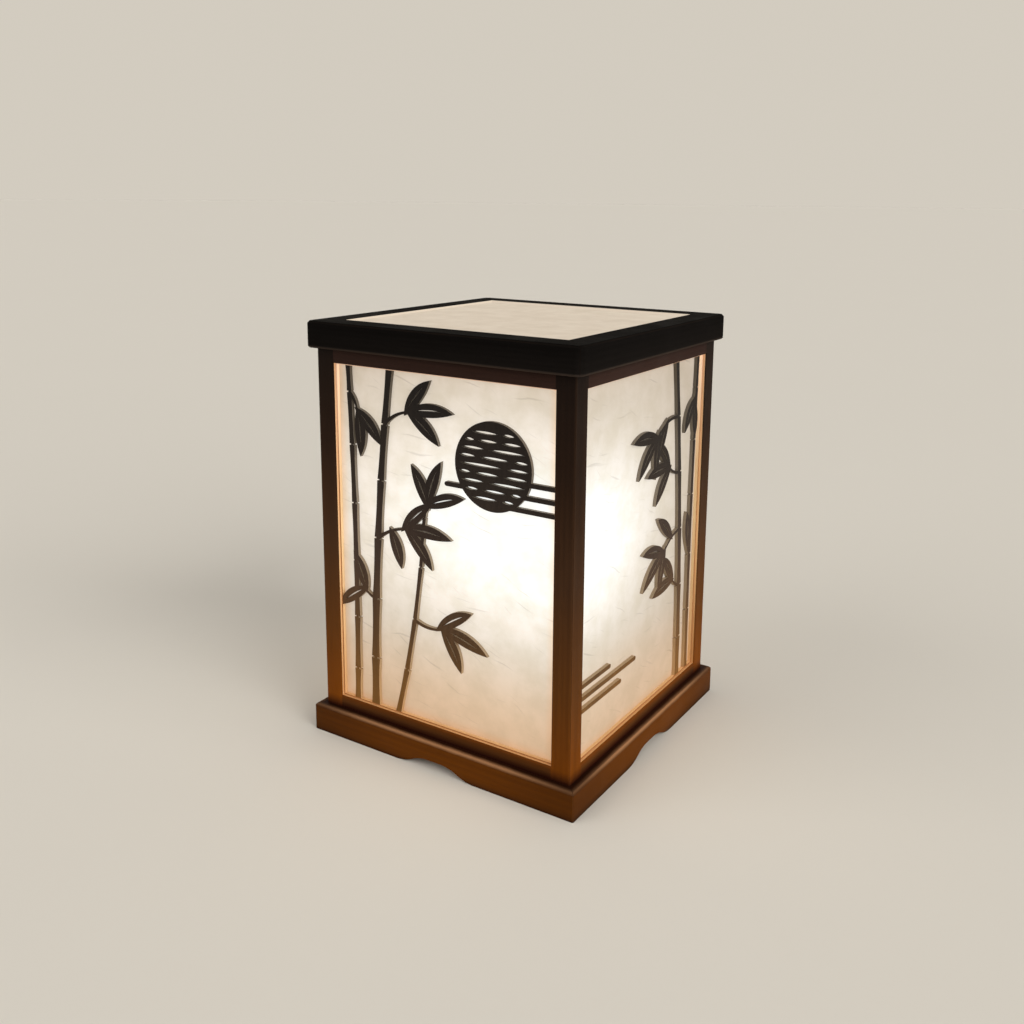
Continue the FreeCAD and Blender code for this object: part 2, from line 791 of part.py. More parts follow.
def make_stem():
    pipe_bottom = board_bottom - pipe_tail
    pipe_range = (pipe_bottom, holder_pipe_stop)
    pipe = rod(pipe_radius, pipe_range).cut(rod(pipe_bore / 2, pipe_range))

    bore = pipe_radius + close_fit
    flange = revolved([
        (bore, plinth_height),
        (flange_diameter / 2, plinth_height),
        (flange_diameter / 2, plinth_height + flange_edge),
        (flange_step_diameter / 2, plinth_height + flange_step_height),
        (flange_neck_diameter / 2, plinth_height + flange_step_height),
        (flange_neck_diameter / 2, plinth_height + flange_height),
        (bore, plinth_height + flange_height),
    ])

    washer_range = (board_bottom - washer_thickness, board_bottom)
    washer = rod(washer_diameter / 2, washer_range).cut(rod(bore, washer_range))

    nut_top = board_bottom - washer_thickness
    nut_range = (nut_top - nut_thickness, nut_top)
    corner_radius = nut_across_flats / math.sqrt(3)
    corners = [polar((0, 0), 60 * corner, corner_radius) for corner in range(6)]
    hexagon = prism([Vector(x, y, nut_range[0]) for x, y in corners], Vector(0, 0, nut_thickness))
    nut = hexagon.cut(rod(bore, nut_range))
    return {"stem_pipe": pipe, "stem_flange": flange, "stem_washer": washer, "stem_nut": nut}


def make_lampholder():
    boss_radius = holder_boss_diameter / 2
    cavity_radius = sleeve_outer_radius + close_fit
    outer_radius = cavity_radius + holder_wall
    top = holder_floor_top + holder_depth
    body = revolved([
        (pipe_radius + close_fit, holder_base_height),
        (boss_radius, holder_base_height),
        (boss_radius, holder_pipe_stop),
        (outer_radius, holder_pipe_stop + holder_shoulder_height),
        (outer_radius, top - holder_rim_chamfer),
        (outer_radius - holder_rim_chamfer, top),
        (cavity_radius, top),
        (cavity_radius, holder_floor_top),
        (pipe_bore / 2, holder_floor_top),
        (pipe_bore / 2, holder_pipe_stop),
        (pipe_radius + close_fit, holder_pipe_stop),
    ])
    sleeve_range = (holder_floor_top, holder_floor_top + sleeve_length)
    sleeve = rod(sleeve_outer_radius, sleeve_range).cut(rod(sleeve_inner_radius, sleeve_range))
    contact = rod(contact_diameter / 2, (holder_floor_top, holder_floor_top + contact_thickness))
    return {"lampholder_body": body, "lampholder_sleeve": sleeve, "lampholder_contact": contact}


# Bulb: a tubular glass in a screw cap, with an insulator and a contact tip under it

def make_bulb():
    plug_radius = bulb_cap_radius - bulb_cap_wall - close_fit
    glass_radius = glass_diameter / 2
    collar_top = bulb_cap_top + glass_collar_height
    shoulder = collar_top + glass_shoulder_height
    top = bulb_bottom + bulb_length
    neck_foot = bulb_cap_top - neck_insertion
    glass = revolved([
        (0, top),
        (glass_radius - glass_crown_inset, top),
        (glass_radius, top - glass_crown_height),
        (glass_radius, shoulder),
        (bulb_cap_radius, collar_top),
        (bulb_cap_radius, bulb_cap_top),
        (plug_radius, bulb_cap_top),
        (plug_radius, neck_foot),
        (plug_radius - glass_wall, neck_foot),
        (plug_radius - glass_wall, collar_top),
        (glass_radius - glass_wall, shoulder),
        (glass_radius - glass_wall, top - glass_crown_height),
        (glass_radius - glass_crown_inset, top - glass_wall),
        (0, top - glass_wall),
    ])

    insulator_radius = bulb_insulator_diameter / 2
    floor_top = bulb_cap_bottom + bulb_cap_wall
    cap = revolved([
        (bulb_cap_radius, bulb_cap_top),
        (bulb_cap_radius, bulb_cap_bottom),
        (insulator_radius, bulb_cap_bottom),
        (insulator_radius, floor_top),
        (bulb_cap_radius - bulb_cap_wall, floor_top),
        (bulb_cap_radius - bulb_cap_wall, bulb_cap_top),
    ])
    tip_radius = bulb_tip_diameter / 2
    insulator = revolved([
        (0, bulb_tip_top),
        (tip_radius, bulb_tip_top),
        (insulator_radius - close_fit, bulb_cap_bottom),
        (insulator_radius - close_fit, floor_top),
        (0, floor_top),
    ])
    tip = revolved([
        (0, bulb_bottom),
        (tip_radius - bulb_tip_chamfer, bulb_bottom),
        (tip_radius, bulb_bottom + bulb_tip_chamfer),
        (tip_radius, bulb_tip_top),
        (0, bulb_tip_top),
    ])
    return {
        "bulb_glass": glass,
        "bulb_screw_cap": cap,
        "bulb_insulator": insulator,
        "bulb_contact_tip": tip,
    }


makers = (
    make_plinth,
    make_base_board,
    make_glue_blocks,
    make_post_screws,
    make_rails,
    make_posts,
    make_panes_and_beads,
    make_side_sheets,
    make_cap,
    make_cap_pane_and_beads,
    make_dowels,
    make_stem,
    make_lampholder,
    make_bulb,
)

os.makedirs("parts", exist_ok=True)
for maker in makers:
    for node, shape in maker().items():
        shape.exportStep("parts/" + node + ".step")
        print(node, "solids", len(shape.Solids), "valid", shape.isValid())
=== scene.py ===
import math

import bmesh
import bpy
from mathutils import Matrix, Vector


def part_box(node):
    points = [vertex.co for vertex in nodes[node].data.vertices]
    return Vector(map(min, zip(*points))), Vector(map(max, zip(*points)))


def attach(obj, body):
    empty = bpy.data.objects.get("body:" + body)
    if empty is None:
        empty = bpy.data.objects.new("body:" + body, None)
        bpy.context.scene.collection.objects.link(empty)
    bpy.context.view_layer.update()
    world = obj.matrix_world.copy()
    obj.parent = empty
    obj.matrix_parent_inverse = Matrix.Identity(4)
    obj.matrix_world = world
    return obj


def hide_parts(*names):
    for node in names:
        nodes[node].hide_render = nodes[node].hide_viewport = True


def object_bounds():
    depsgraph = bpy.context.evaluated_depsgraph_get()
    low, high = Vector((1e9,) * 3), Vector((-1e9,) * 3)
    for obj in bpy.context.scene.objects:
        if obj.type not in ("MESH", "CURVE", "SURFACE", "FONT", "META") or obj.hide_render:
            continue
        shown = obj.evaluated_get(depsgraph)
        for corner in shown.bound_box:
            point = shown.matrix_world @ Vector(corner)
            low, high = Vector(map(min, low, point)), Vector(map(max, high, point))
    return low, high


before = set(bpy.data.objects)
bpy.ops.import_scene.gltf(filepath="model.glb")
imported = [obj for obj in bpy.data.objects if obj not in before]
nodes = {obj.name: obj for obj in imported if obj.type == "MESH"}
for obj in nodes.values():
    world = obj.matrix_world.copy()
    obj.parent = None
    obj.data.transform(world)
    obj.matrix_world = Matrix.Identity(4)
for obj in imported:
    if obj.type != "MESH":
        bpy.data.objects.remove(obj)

# The lamp stands on its plinth at the origin, +Z up, with its front towards -Y. Metres.
cad_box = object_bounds()


# Plinth
# Four mitred rails of stained walnut with a low arch sawn out of each. The stain is warm with
# painted bounce light at the foot of the lamp and nearly black with painted shade at its head, and
# rubbed thin along the outside edges, where a painted highlight lies on the rubbing.

# The sides whose rails and beads run along each axis
sides_along = {"X": ("front", "back"), "Y": ("right", "left")}
lamp_height = cad_box[1][2]
plinth_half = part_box("plinth_rail_right")[1].x
plinth_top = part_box("plinth_rail_right")[1].z

# The plinth's stain by height: warm with painted bounce light, with painted shade along the foot at the
# floor and painted shade on the ledge under the rails
plinth_stain_and_light = ((0.0, "#351b07"), (0.007, "#5b2f04"), (0.028, "#603203"), (0.0318, "#2c1206"))
# The colour of rubbed edges; on the plinth it is mostly a painted highlight of the panes' light
rubbed_highlit_brown = "#a87a54"
joint_brown = "#160c06"
grain_light = 1.28
grain_dark = 0.66
# Painted light in the middle of each plinth side, and painted shade towards its corners from this distance
# out
middle_painted_light = 1.10
corner_painted_shade = 0.72
corner_shade_start = 0.04

# How far the edges are rubbed and lit with a painted highlight: in over the top, down from it, and round the
# upright corners
plinth_rub_highlight = {"Over": 0.008, "Down": 0.0035, "Round": 0.0012}
plinth_wear_highlight = 0.88
# So far up or down that a block has no edge there to rub
far_off = 1.0

oiled_roughness = (0.50, 0.64)
oiled_relief = 0.00006
rubbed_polish = 0.1
smear_scale = 14.0
# Low, because broad soft light lays a pale veil over dark wood
walnut_gloss = 0.05
# Most of a noise lies in this range
noise_range = (0.3, 0.7)


def colour_of(written):
    """A colour written as #rrggbb, in the linear values that a shader takes, by the sRGB curve."""
    shares = [int(written[start:start + 2], 16) / 255 for start in (1, 3, 5)]
    linear = [share / 12.92 if share <= 0.04045 else ((share + 0.055) / 1.055) ** 2.4 for share in shares]
    return (*linear, 1.0)


def feed(tree, socket, value):
    """Links a socket to another one, or sets its value."""
    if isinstance(value, bpy.types.NodeSocket):
        tree.links.new(value, socket)
    else:
        socket.default_value = value


def put(tree, kind, inputs, **settings):
    """One shader node, with its settings, and its inputs by name or number."""
    made = tree.nodes.new("ShaderNode" + kind)
    for name, value in settings.items():
        setattr(made, name, value)
    for name, value in inputs.items():
        feed(tree, made.inputs[name], value)
    return made


def placed(tree, group, inputs):
    """What an effect puts out for its named inputs."""
    return put(tree, "Group", inputs, node_tree=group).outputs


def maths(tree, operation, *values):
    """A number worked out from others."""
    made = put(tree, "Math", {}, operation=operation)
    for socket, value in zip(made.inputs, values):
        feed(tree, socket, value)
    return made.outputs["Value"]


def split(tree, vector):
    """The vector's three numbers."""
    return put(tree, "SeparateXYZ", {"Vector": vector}).outputs


def scaled(tree, vector, shares):
    """The vector with each of its numbers scaled by its own share."""
    return put(tree, "VectorMath", {0: vector, 1: shares}, operation="MULTIPLY").outputs["Vector"]


def shaded(tree, colour, share):
    """The colour, darker or lighter by one share."""
    return scaled(tree, colour, (share,) * 3)


def noise(tree, vector, scale, detail=2.0, roughness=0.5):
    """A cloudy number from 0 to 1, with features of about 1 / scale metres."""
    inputs = {"Vector": vector, "Scale": scale, "Detail": detail, "Roughness": roughness}
    return put(tree, "TexNoise", inputs).outputs["Fac"]


def span(tree, value, low, high, start=0.0, end=1.0):
    """A smooth step from start to end while the value goes from low to high."""
    inputs = {"Value": value, "From Min": low, "From Max": high, "To Min": start, "To Max": end}
    return put(tree, "MapRange", inputs, interpolation_type="SMOOTHSTEP").outputs["Result"]


def varied(tree, clouds, start=0.0, end=1.0):
    """A number that goes from start to end with a noise."""
    return span(tree, clouds, *noise_range, start, end)


def mixed(tree, share, first, second, blend="MIX"):
    """A colour between two others. A Mix node has its share in socket 0 and its colours in 6 and 7."""
    made = put(tree, "Mix", {0: share, 6: first, 7: second}, data_type="RGBA", blend_type=blend)
    return made.outputs[2]


def ramped(tree, value, stops):
    """A colour for a value from 0 to 1, between stops given as (value, written colour)."""
    made = put(tree, "ValToRGB", {"Fac": value})
    points = made.color_ramp.elements
    for point, (position, written) in zip((points[0], points[1]), (stops[0], stops[-1])):
        point.position = position
        point.color = colour_of(written)
    for position, written in stops[1:-1]:
        points.new(position).color = colour_of(written)
    return made.outputs["Color"]


def effect(name, inputs, outputs):
    """A node group with named inputs and outputs, to be used by several materials."""
    group = bpy.data.node_groups.new(name, "ShaderNodeTree")
    for label, kind in inputs.items():
        group.interface.new_socket(label, in_out="INPUT", socket_type="NodeSocket" + kind)
    for label, kind in outputs.items():
        group.interface.new_socket(label, in_out="OUTPUT", socket_type="NodeSocket" + kind)
    given = group.nodes.new("NodeGroupInput").outputs
    result = group.nodes.new("NodeGroupOutput").inputs
    return group, given, result


def finish(name, values):
    """A material with one Principled shader. The values are the same all over the surface."""
    material = bpy.data.materials.new(name)
    material.use_nodes = True
    tree = material.node_tree
    shader = tree.nodes["Principled BSDF"]
    for label, value in values.items():
        shader.inputs[label].default_value = value
    return material, tree, shader.inputs


def object_place(tree):
    """The place on the lamp, in metres."""
    return put(tree, "TexCoord", {}).outputs["Object"]


def off_middle(tree, place):
    """How far a place is from the lamp's middle, along X and along Y."""
    across = split(tree, place)
    return maths(tree, "ABSOLUTE", across["X"]), maths(tree, "ABSOLUTE", across["Y"])


def bumped(tree, height, depth):
    """A normal from a height of 0 to 1, with the real depth of the relief."""
    return put(tree, "Bump", {"Height": height, "Distance": depth}).outputs["Normal"]


def by_height(tree, place, stops):
    """A colour that changes up the lamp, between stops given as (height, written colour)."""
    share = maths(tree, "DIVIDE", split(tree, place)["Z"], lamp_height)
    return ramped(tree, share, [(height / lamp_height, written) for height, written in stops])


def dress(names, material):
    """Gives CAD nodes a finish."""
    for name in names:
        for slot in nodes[name].material_slots:
            slot.material = material


def drawn_out(tree, place, share):
    """The place squeezed along Z, so that a noise runs out along the grain."""
    return scaled(tree, place, (1.0, 1.0, share))


def make_grain_effect():
    """Straight-grained hardwood: bands of growth, a broad figure, fibres and pores along Z."""
    pith_distance = 0.16
    ring_width = 0.0055
    ring_wander = 26.0
    ring_floor = -0.9
    wander_scale = 7.0
    figure_scale, figure_squeeze = 26.0, 0.055
    fibre_scale, fibre_squeeze = 620.0, 0.03
    pore_scale, pore_squeeze = 1300.0, 0.045
    seed_slant = 0.61
    ring_weight, figure_weight, fibre_weight = 0.14, 0.5, 0.36
    pore_rarity = (0.60, 0.70)
    pore_darkness = 0.45
    fibre_height = 0.5
    group, given, result = effect(
        "Wood grain",
        {"Place": "Vector", "Seed": "Float", "Light": "Color", "Dark": "Color"},
        {"Color": "Color", "Height": "Float", "Figure": "Float"},
    )
    seed = given["Seed"]
    slanted = maths(group, "MULTIPLY", seed, seed_slant)
    shift = put(group, "CombineXYZ", {"X": seed, "Y": slanted, "Z": seed}).outputs["Vector"]
    place = put(group, "VectorMath", {0: given["Place"], 1: shift}, operation="ADD").outputs["Vector"]
    along = drawn_out(group, place, figure_squeeze)
    figure = noise(group, along, figure_scale, detail=3.0, roughness=0.55)
    wander = noise(group, along, wander_scale)
    fibres = noise(group, drawn_out(group, place, fibre_squeeze), fibre_scale, roughness=0.6)
    pores = noise(group, drawn_out(group, place, pore_squeeze), pore_scale, detail=1.0)
    pores = span(group, pores, *pore_rarity)
    across = split(group, given["Place"])
    square_x = maths(group, "POWER", maths(group, "ADD", across["X"], pith_distance), 2.0)
    square_y = maths(group, "POWER", across["Y"], 2.0)
    distance = maths(group, "SQRT", maths(group, "ADD", square_x, square_y))
    turns = maths(group, "MULTIPLY_ADD", distance, 2 * math.pi / ring_width, seed)
    turns = maths(group, "MULTIPLY_ADD", wander, ring_wander, turns)
    rings = span(group, maths(group, "SINE", turns), ring_floor, 1.0)
    tone = maths(group, "MULTIPLY_ADD", fibres, fibre_weight, maths(group, "MULTIPLY", rings, ring_weight))
    tone = maths(group, "MULTIPLY_ADD", varied(group, figure), figure_weight, tone)
    colour = mixed(group, tone, given["Dark"], given["Light"])
    pore_share = maths(group, "MULTIPLY", pores, pore_darkness)
    feed(group, result["Color"], mixed(group, pore_share, colour, given["Dark"]))
    raised = maths(group, "MULTIPLY", fibres, fibre_height)
    feed(group, result["Height"], maths(group, "SUBTRACT", raised, pores))
    feed(group, result["Figure"], figure)
    return group


def make_edge_effect():
    """Wear and a painted highlight along the outside edges of a square block, and the lines of its mitre
    joints. They reach in over the top, down from the top and round the upright corners, and are least
    at them, where the painted highlight fades."""
    joint_width = 0.0004
    highlight_corner_reach = 0.09
    highlight_corner_share = 0.45
    patch_scale = 45.0
    patch_range = (0.35, 0.7)
    patch_reach_shares = (0.93, 1.05)
    labels = ("Half Width", "Bottom", "Top", "Over", "Down", "Round")
    inputs = {"Place": "Vector", **dict.fromkeys(labels, "Float")}
    group, given, result = effect("Edge wear and highlight", inputs, {"Wear And Highlight": "Float", "Joint": "Float"})
    across_x, across_y = off_middle(group, given["Place"])
    height = split(group, given["Place"])["Z"]
    inset_x = maths(group, "SUBTRACT", given["Half Width"], across_x)
    inset_y = maths(group, "SUBTRACT", given["Half Width"], across_y)
    above = maths(group, "SUBTRACT", height, given["Bottom"])
    below = maths(group, "SUBTRACT", given["Top"], height)
    inset_z = maths(group, "MINIMUM", above, below)
    nearer = maths(group, "MINIMUM", inset_x, inset_y)
    farther = maths(group, "MAXIMUM", inset_x, inset_y)
    over = maths(group, "DIVIDE", nearer, given["Over"])
    down = maths(group, "DIVIDE", inset_z, given["Down"])
    around = maths(group, "DIVIDE", farther, given["Round"])
    from_edge = maths(group, "MAXIMUM", over, maths(group, "MINIMUM", down, around))
    patches = noise(group, given["Place"], patch_scale, detail=3.0, roughness=0.6)
    patches = span(group, patches, *patch_range, *patch_reach_shares)
    # The painted highlight fades towards the upright corners, where less light falls
    highlight_fade_to_corner = span(group, farther, 0.0, highlight_corner_reach, highlight_corner_share, 1.0)
    worn_and_highlit = maths(group, "MULTIPLY", span(group, from_edge, patches, 0.0), highlight_fade_to_corner)
    feed(group, result["Wear And Highlight"], worn_and_highlit)
    off_mitre = maths(group, "ABSOLUTE", maths(group, "SUBTRACT", across_x, across_y))
    feed(group, result["Joint"], maths(group, "LESS_THAN", off_mitre, joint_width / 2))
    return group


grain_effect = make_grain_effect()
edge_effect = make_edge_effect()


def along_grain(tree, place, direction):
    """The place, turned so that the direction of the grain becomes Z."""
    quarter = math.pi / 2
    turns = {"X": (0.0, quarter, 0.0), "Y": (quarter, 0.0, 0.0), "Z": (0.0, 0.0, 0.0)}
    return put(tree, "Mapping", {"Vector": place, "Rotation": turns[direction]}).outputs["Vector"]


def grained(tree, place, stained_and_lit, seed):
    """The grain of a stained wood at a place."""
    light = shaded(tree, stained_and_lit, grain_light)
    dark = shaded(tree, stained_and_lit, grain_dark)
    return placed(tree, grain_effect, {"Place": place, "Seed": seed, "Light": light, "Dark": dark})


def stained_wood(name, direction, stain_and_light, edges, wear_highlight_amount, gloss, seed):
    """Stained and oiled wood. The stain changes up the lamp with painted bounce light and shade. The
    edges are the half width, bottom and top of what they bound, and how far they are rubbed and lit
    with a painted highlight over the top, down and round the corners. The wear is how much of both."""
    material, tree, shader = finish(name, {"Specular IOR Level": gloss})
    place = object_place(tree)
    wood = grained(tree, along_grain(tree, place, direction), by_height(tree, place, stain_and_light), seed)
    edge = placed(tree, edge_effect, {"Place": place, **edges})
    wear_highlight_share = maths(tree, "MULTIPLY", edge["Wear And Highlight"], wear_highlight_amount)
    colour = mixed(tree, wear_highlight_share, wood["Color"], colour_of(rubbed_highlit_brown))
    colour = mixed(tree, edge["Joint"], colour, colour_of(joint_brown))
    smears = noise(tree, place, smear_scale, detail=3.0, roughness=0.6)
    roughness = varied(tree, smears, *oiled_roughness)
    roughness = maths(tree, "MULTIPLY_ADD", edge["Wear And Highlight"], -rubbed_polish, roughness)
    relief = maths(tree, "SUBTRACT", wood["Height"], edge["Joint"])
    feed(tree, shader["Base Color"], colour)
    feed(tree, shader["Roughness"], roughness)
    feed(tree, shader["Normal"], bumped(tree, relief, oiled_relief))
    return material, tree, shader, colour, place


def plinth_wood(name, direction):
    """The plinth's walnut, with painted light across the middle of each side and painted shade
    towards the corners.
    """
    edges = {"Half Width": plinth_half, "Bottom": -far_off, "Top": plinth_top, **plinth_rub_highlight}
    finished = stained_wood(name, direction, plinth_stain_and_light, edges, plinth_wear_highlight, walnut_gloss, seed=1.3)
    material, tree, shader, colour, place = finished
    along = maths(tree, "MINIMUM", *off_middle(tree, place))
    corner_shade_share = span(tree, along, corner_shade_start, plinth_half)
    light = shaded(tree, colour, middle_painted_light)
    dark = shaded(tree, colour, corner_painted_shade)
    feed(tree, shader["Base Color"], mixed(tree, corner_shade_share, light, dark))
    return material


for direction, sides in sides_along.items():
    walnut = plinth_wood("plinth_walnut_" + direction, direction)
    dress(["plinth_rail_" + side for side in sides], walnut)


# Base board and glue blocks
# A board let into the plinth, and three-cornered blocks glued under it. Bare planed softwood
# that nobody sees without turning the lamp over.

bare_light = "#c79a66"
bare_dark = "#97683d"
planed_gloss = 0.25
planed_roughness = (0.62, 0.78)
planed_relief = 0.0001


def bare_wood(name, direction, light, dark, seed):
    """Planed wood with no finish."""
    material, tree, shader = finish(name, {"Specular IOR Level": planed_gloss})
    place = along_grain(tree, object_place(tree), direction)
    inputs = {"Place": place, "Seed": seed, "Light": colour_of(light), "Dark": colour_of(dark)}
    wood = placed(tree, grain_effect, inputs)
    feed(tree, shader["Base Color"], wood["Color"])
    feed(tree, shader["Roughness"], varied(tree, wood["Figure"], *planed_roughness))
    feed(tree, shader["Normal"], bumped(tree, wood["Height"], planed_relief))
    return material


dress(["base_board"], bare_wood("board_pine", "X", bare_light, bare_dark, seed=4.1))
dress(["glue_blocks"], bare_wood("block_pine", "Z", bare_light, bare_dark, seed=2.7))


# Post screws
# Zinc-plated steel screws, driven up through the plinth into the feet of the posts. The
# plating is cloudy.

zinc_light = "#bcbdb9"
zinc_dark = "#a4a5a1"
metal_cloud_scale = 260.0
lathe_ring_scale = 5200.0
metal_clear_range = (0.35, 0.65)
metal_roughness = (0.32, 0.42)
metal_relief = 0.00001


def cloudy_metal(name, light, dark, turning):
    """Bare or plated metal. Turning is how strongly the fine rings of a lathe show."""
    material, tree, shader = finish(name, {"Metallic": 1.0})
    place = object_place(tree)
    clouds = noise(tree, place, metal_cloud_scale, detail=3.0, roughness=0.6)
    rings = noise(tree, scaled(tree, place, (0.0, 0.0, 1.0)), lathe_ring_scale, detail=1.0)
    clear = span(tree, clouds, *metal_clear_range)
    feed(tree, shader["Base Color"], mixed(tree, clear, colour_of(dark), colour_of(light)))
    feed(tree, shader["Roughness"], varied(tree, clouds, *metal_roughness))
    height = maths(tree, "MULTIPLY_ADD", rings, turning, clouds)
    feed(tree, shader["Normal"], bumped(tree, height, metal_relief))
    return material


dress(["post_screws"], cloudy_metal("screw_zinc", zinc_light, zinc_dark, turning=0.0))


# Frame
# Corner posts and rails of the same walnut, tenoned together and rebated behind a thin lip.
# The inner edges of each opening are bare pale wood, painted bright with the light of the paper and
# given a painted glow. The stain is warm with painted bounce light low down and dark with painted
# shade up high.

# The posts' stain by height: painted contact shade at the foot, painted warm bounce light low down, and
# painted shade darkening it towards the head
post_stain_and_light = (
    (0.0325, "#2c0e04"), (0.037, "#502708"), (0.045, "#723b05"), (0.13, "#5b3410"),
    (0.24, "#422a18"), (0.35, "#28190f"), (0.45, "#190f0a"),
)
# The rails' stain by height: painted contact shade at the foot of the bottom rails, painted warm bounce
# light on them, and painted shade on the top rails
rail_stain_and_light = (
    (0.0325, "#240803"), (0.0355, "#381a08"), (0.040, "#4c2b0f"), (0.046, "#673509"),
    (0.43, "#31201a"), (0.45, "#2d1c16"),
)
# The bare edges of the openings by height, painted pale and peach with the light of the paper
trim_wood_and_light = ((0.06, "#dba974"), (0.20, "#f0c692"), (0.42, "#eabd94"))
trim_shade = (0.92, 0.88, 0.84)
stripe_scale = 160.0
stripe_squeeze = 0.2
# A painted glow on the bare edges of the openings, standing for the paper's light on them
trim_glow = ((0.10, "#000000"), (0.22, "#5c4630"), (0.30, "#5c4630"), (0.42, "#403525"))
unlit = "#000000"
seam_brown = "#b07746"
slight_rub = dict.fromkeys(("Over", "Down", "Round"), 0.0024)
frame_wear = 0.07
post_face = 0.023
lip_thickness = 0.004
seam_width = 0.0006
# A hair more than the opening, so that its own edges are inside
trim_reach = 0.00005

body_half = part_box("corner_post_front_right")[1].x
opening_half = body_half - post_face
opening_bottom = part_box("bottom_rail_front")[1].z
opening_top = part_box("top_rail_front")[0].z


def make_opening_effect():
    """The part of a side that lies inside its opening, grown by the reach given, and the seam
    behind the frame's lip."""
    outputs = {"Inside": "Float", "Seam": "Float"}
    group, given, result = effect("Opening", {"Place": "Vector", "Reach": "Float"}, outputs)
    across_x, across_y = off_middle(group, given["Place"])
    height = split(group, given["Place"])["Z"]
    across = maths(group, "MINIMUM", across_x, across_y)
    beside = maths(group, "SUBTRACT", across, opening_half)
    under = maths(group, "SUBTRACT", opening_bottom, height)
    over = maths(group, "SUBTRACT", height, opening_top)
    outside = maths(group, "MAXIMUM", beside, maths(group, "MAXIMUM", under, over))
    feed(group, result["Inside"], maths(group, "LESS_THAN", outside, given["Reach"]))
    outward = maths(group, "MAXIMUM", across_x, across_y)
    behind_lip = maths(group, "SUBTRACT", body_half - lip_thickness, outward)
    off_seam = maths(group, "ABSOLUTE", behind_lip)
    feed(group, result["Seam"], maths(group, "LESS_THAN", off_seam, seam_width / 2))
    return group


opening_effect = make_opening_effect()


def frame_wood(name, direction, stain_and_light, seed):
    """The frame's walnut, left bare on the edges of the openings, where the bare wood is painted
    bright with the paper's light and given a painted glow.
    """
    edges = {"Half Width": body_half, "Bottom": -far_off, "Top": far_off, **slight_rub}
    finished = stained_wood(name, direction, stain_and_light, edges, frame_wear, walnut_gloss, seed)
    material, tree, shader, colour, place = finished
    opening = placed(tree, opening_effect, {"Place": place, "Reach": trim_reach})
    stripes = noise(tree, drawn_out(tree, place, stripe_squeeze), stripe_scale)
    lit_bare_wood = by_height(tree, place, trim_wood_and_light)
    lit_bare_wood = mixed(tree, stripes, lit_bare_wood, scaled(tree, lit_bare_wood, trim_shade))
    lit_bare_wood = mixed(tree, opening["Seam"], lit_bare_wood, colour_of(seam_brown))
    # Painted glow of the paper's light on the bare edges
    glow = by_height(tree, place, trim_glow)
    feed(tree, shader["Base Color"], mixed(tree, opening["Inside"], colour, lit_bare_wood))
    feed(tree, shader["Emission Color"], mixed(tree, opening["Inside"], colour_of(unlit), glow))
    feed(tree, shader["Emission Strength"], 1.0)
    return material


for direction, sides in sides_along.items():
    rails = [level + "_rail_" + side for level in ("bottom", "top") for side in sides]
    dress(rails, frame_wood("rail_walnut_" + direction, direction, rail_stain_and_light, seed=5.2))
posts = [name for name in nodes if name.startswith("corner_post_")]
dress(posts, frame_wood("post_walnut", "Z", post_stain_and_light, seed=8.9))


# Paper panes
# Handmade paper with loose fibres in it, on a stiff clear backing. The bulb behind makes
# each pane glow, white where it is nearest and peach towards the frame.

paper_cream = "#8f8472"
fibre_grey = "#74695a"
glow_stops = (
    (0.18, "#93877d"), (0.28, "#a79c90"), (0.44, "#c0b7ab"),
    (0.64, "#dfd9d0"), (0.78, "#e9e9e3"), (0.90, "#f1f4f4"),
)
# What thin and thick places in the paper make of the light
paper_thin = (1.065, 1.07, 1.10, 1.0)
paper_thick = (0.905, 0.90, 0.87, 1.0)
paper_gloss = 0.15
paper_roughness = (0.70, 0.85)
paper_relief = 0.00012
paper_cloud_scale = 30.0

# Layers of fibres: their slant in radians, the scale of their noise, and how rare they are in it
fibre_layers = ((0.28, 17.0, 0.675), (0.02, 14.0, 0.69), (0.55, 20.0, 0.70))
fibre_slimness = 15.0
fibre_softness = 0.12
fibre_bend = 0.024
fibre_bend_scale = 14.0
fibre_strength = 0.42
fibre_shadow = 0.16

no_tint = (1.0, 1.0, 1.0)
cool_tint = (0.93, 0.985, 1.05)
# The light warms towards the foot of a pane, from the first height down to the second
foot_warmth = (1.28, 0.97, 0.71)
foot_range = (0.17, 0.05)
# It warms at the rim too, from the first distance inside the opening to the second
rim_warmth = (1.04, 0.80, 0.60)
rim_range = (0.014, -0.002)

# The brightest place on a pane, how far the light reaches across and up it, and its tint
front_glow = {
    "Hot Across": 0.12, "Hot Up": 0.279, "Reach Across": 0.28, "Reach Up": 0.13, "Tint": no_tint,
}
right_glow = {
    "Hot Across": -0.12, "Hot Up": 0.27, "Reach Across": 0.145, "Reach Up": 0.10, "Tint": cool_tint,
}
even_glow = {
    "Hot Across": 0.0, "Hot Up": 0.27, "Reach Across": 0.17, "Reach Up": 0.12, "Tint": no_tint,
}


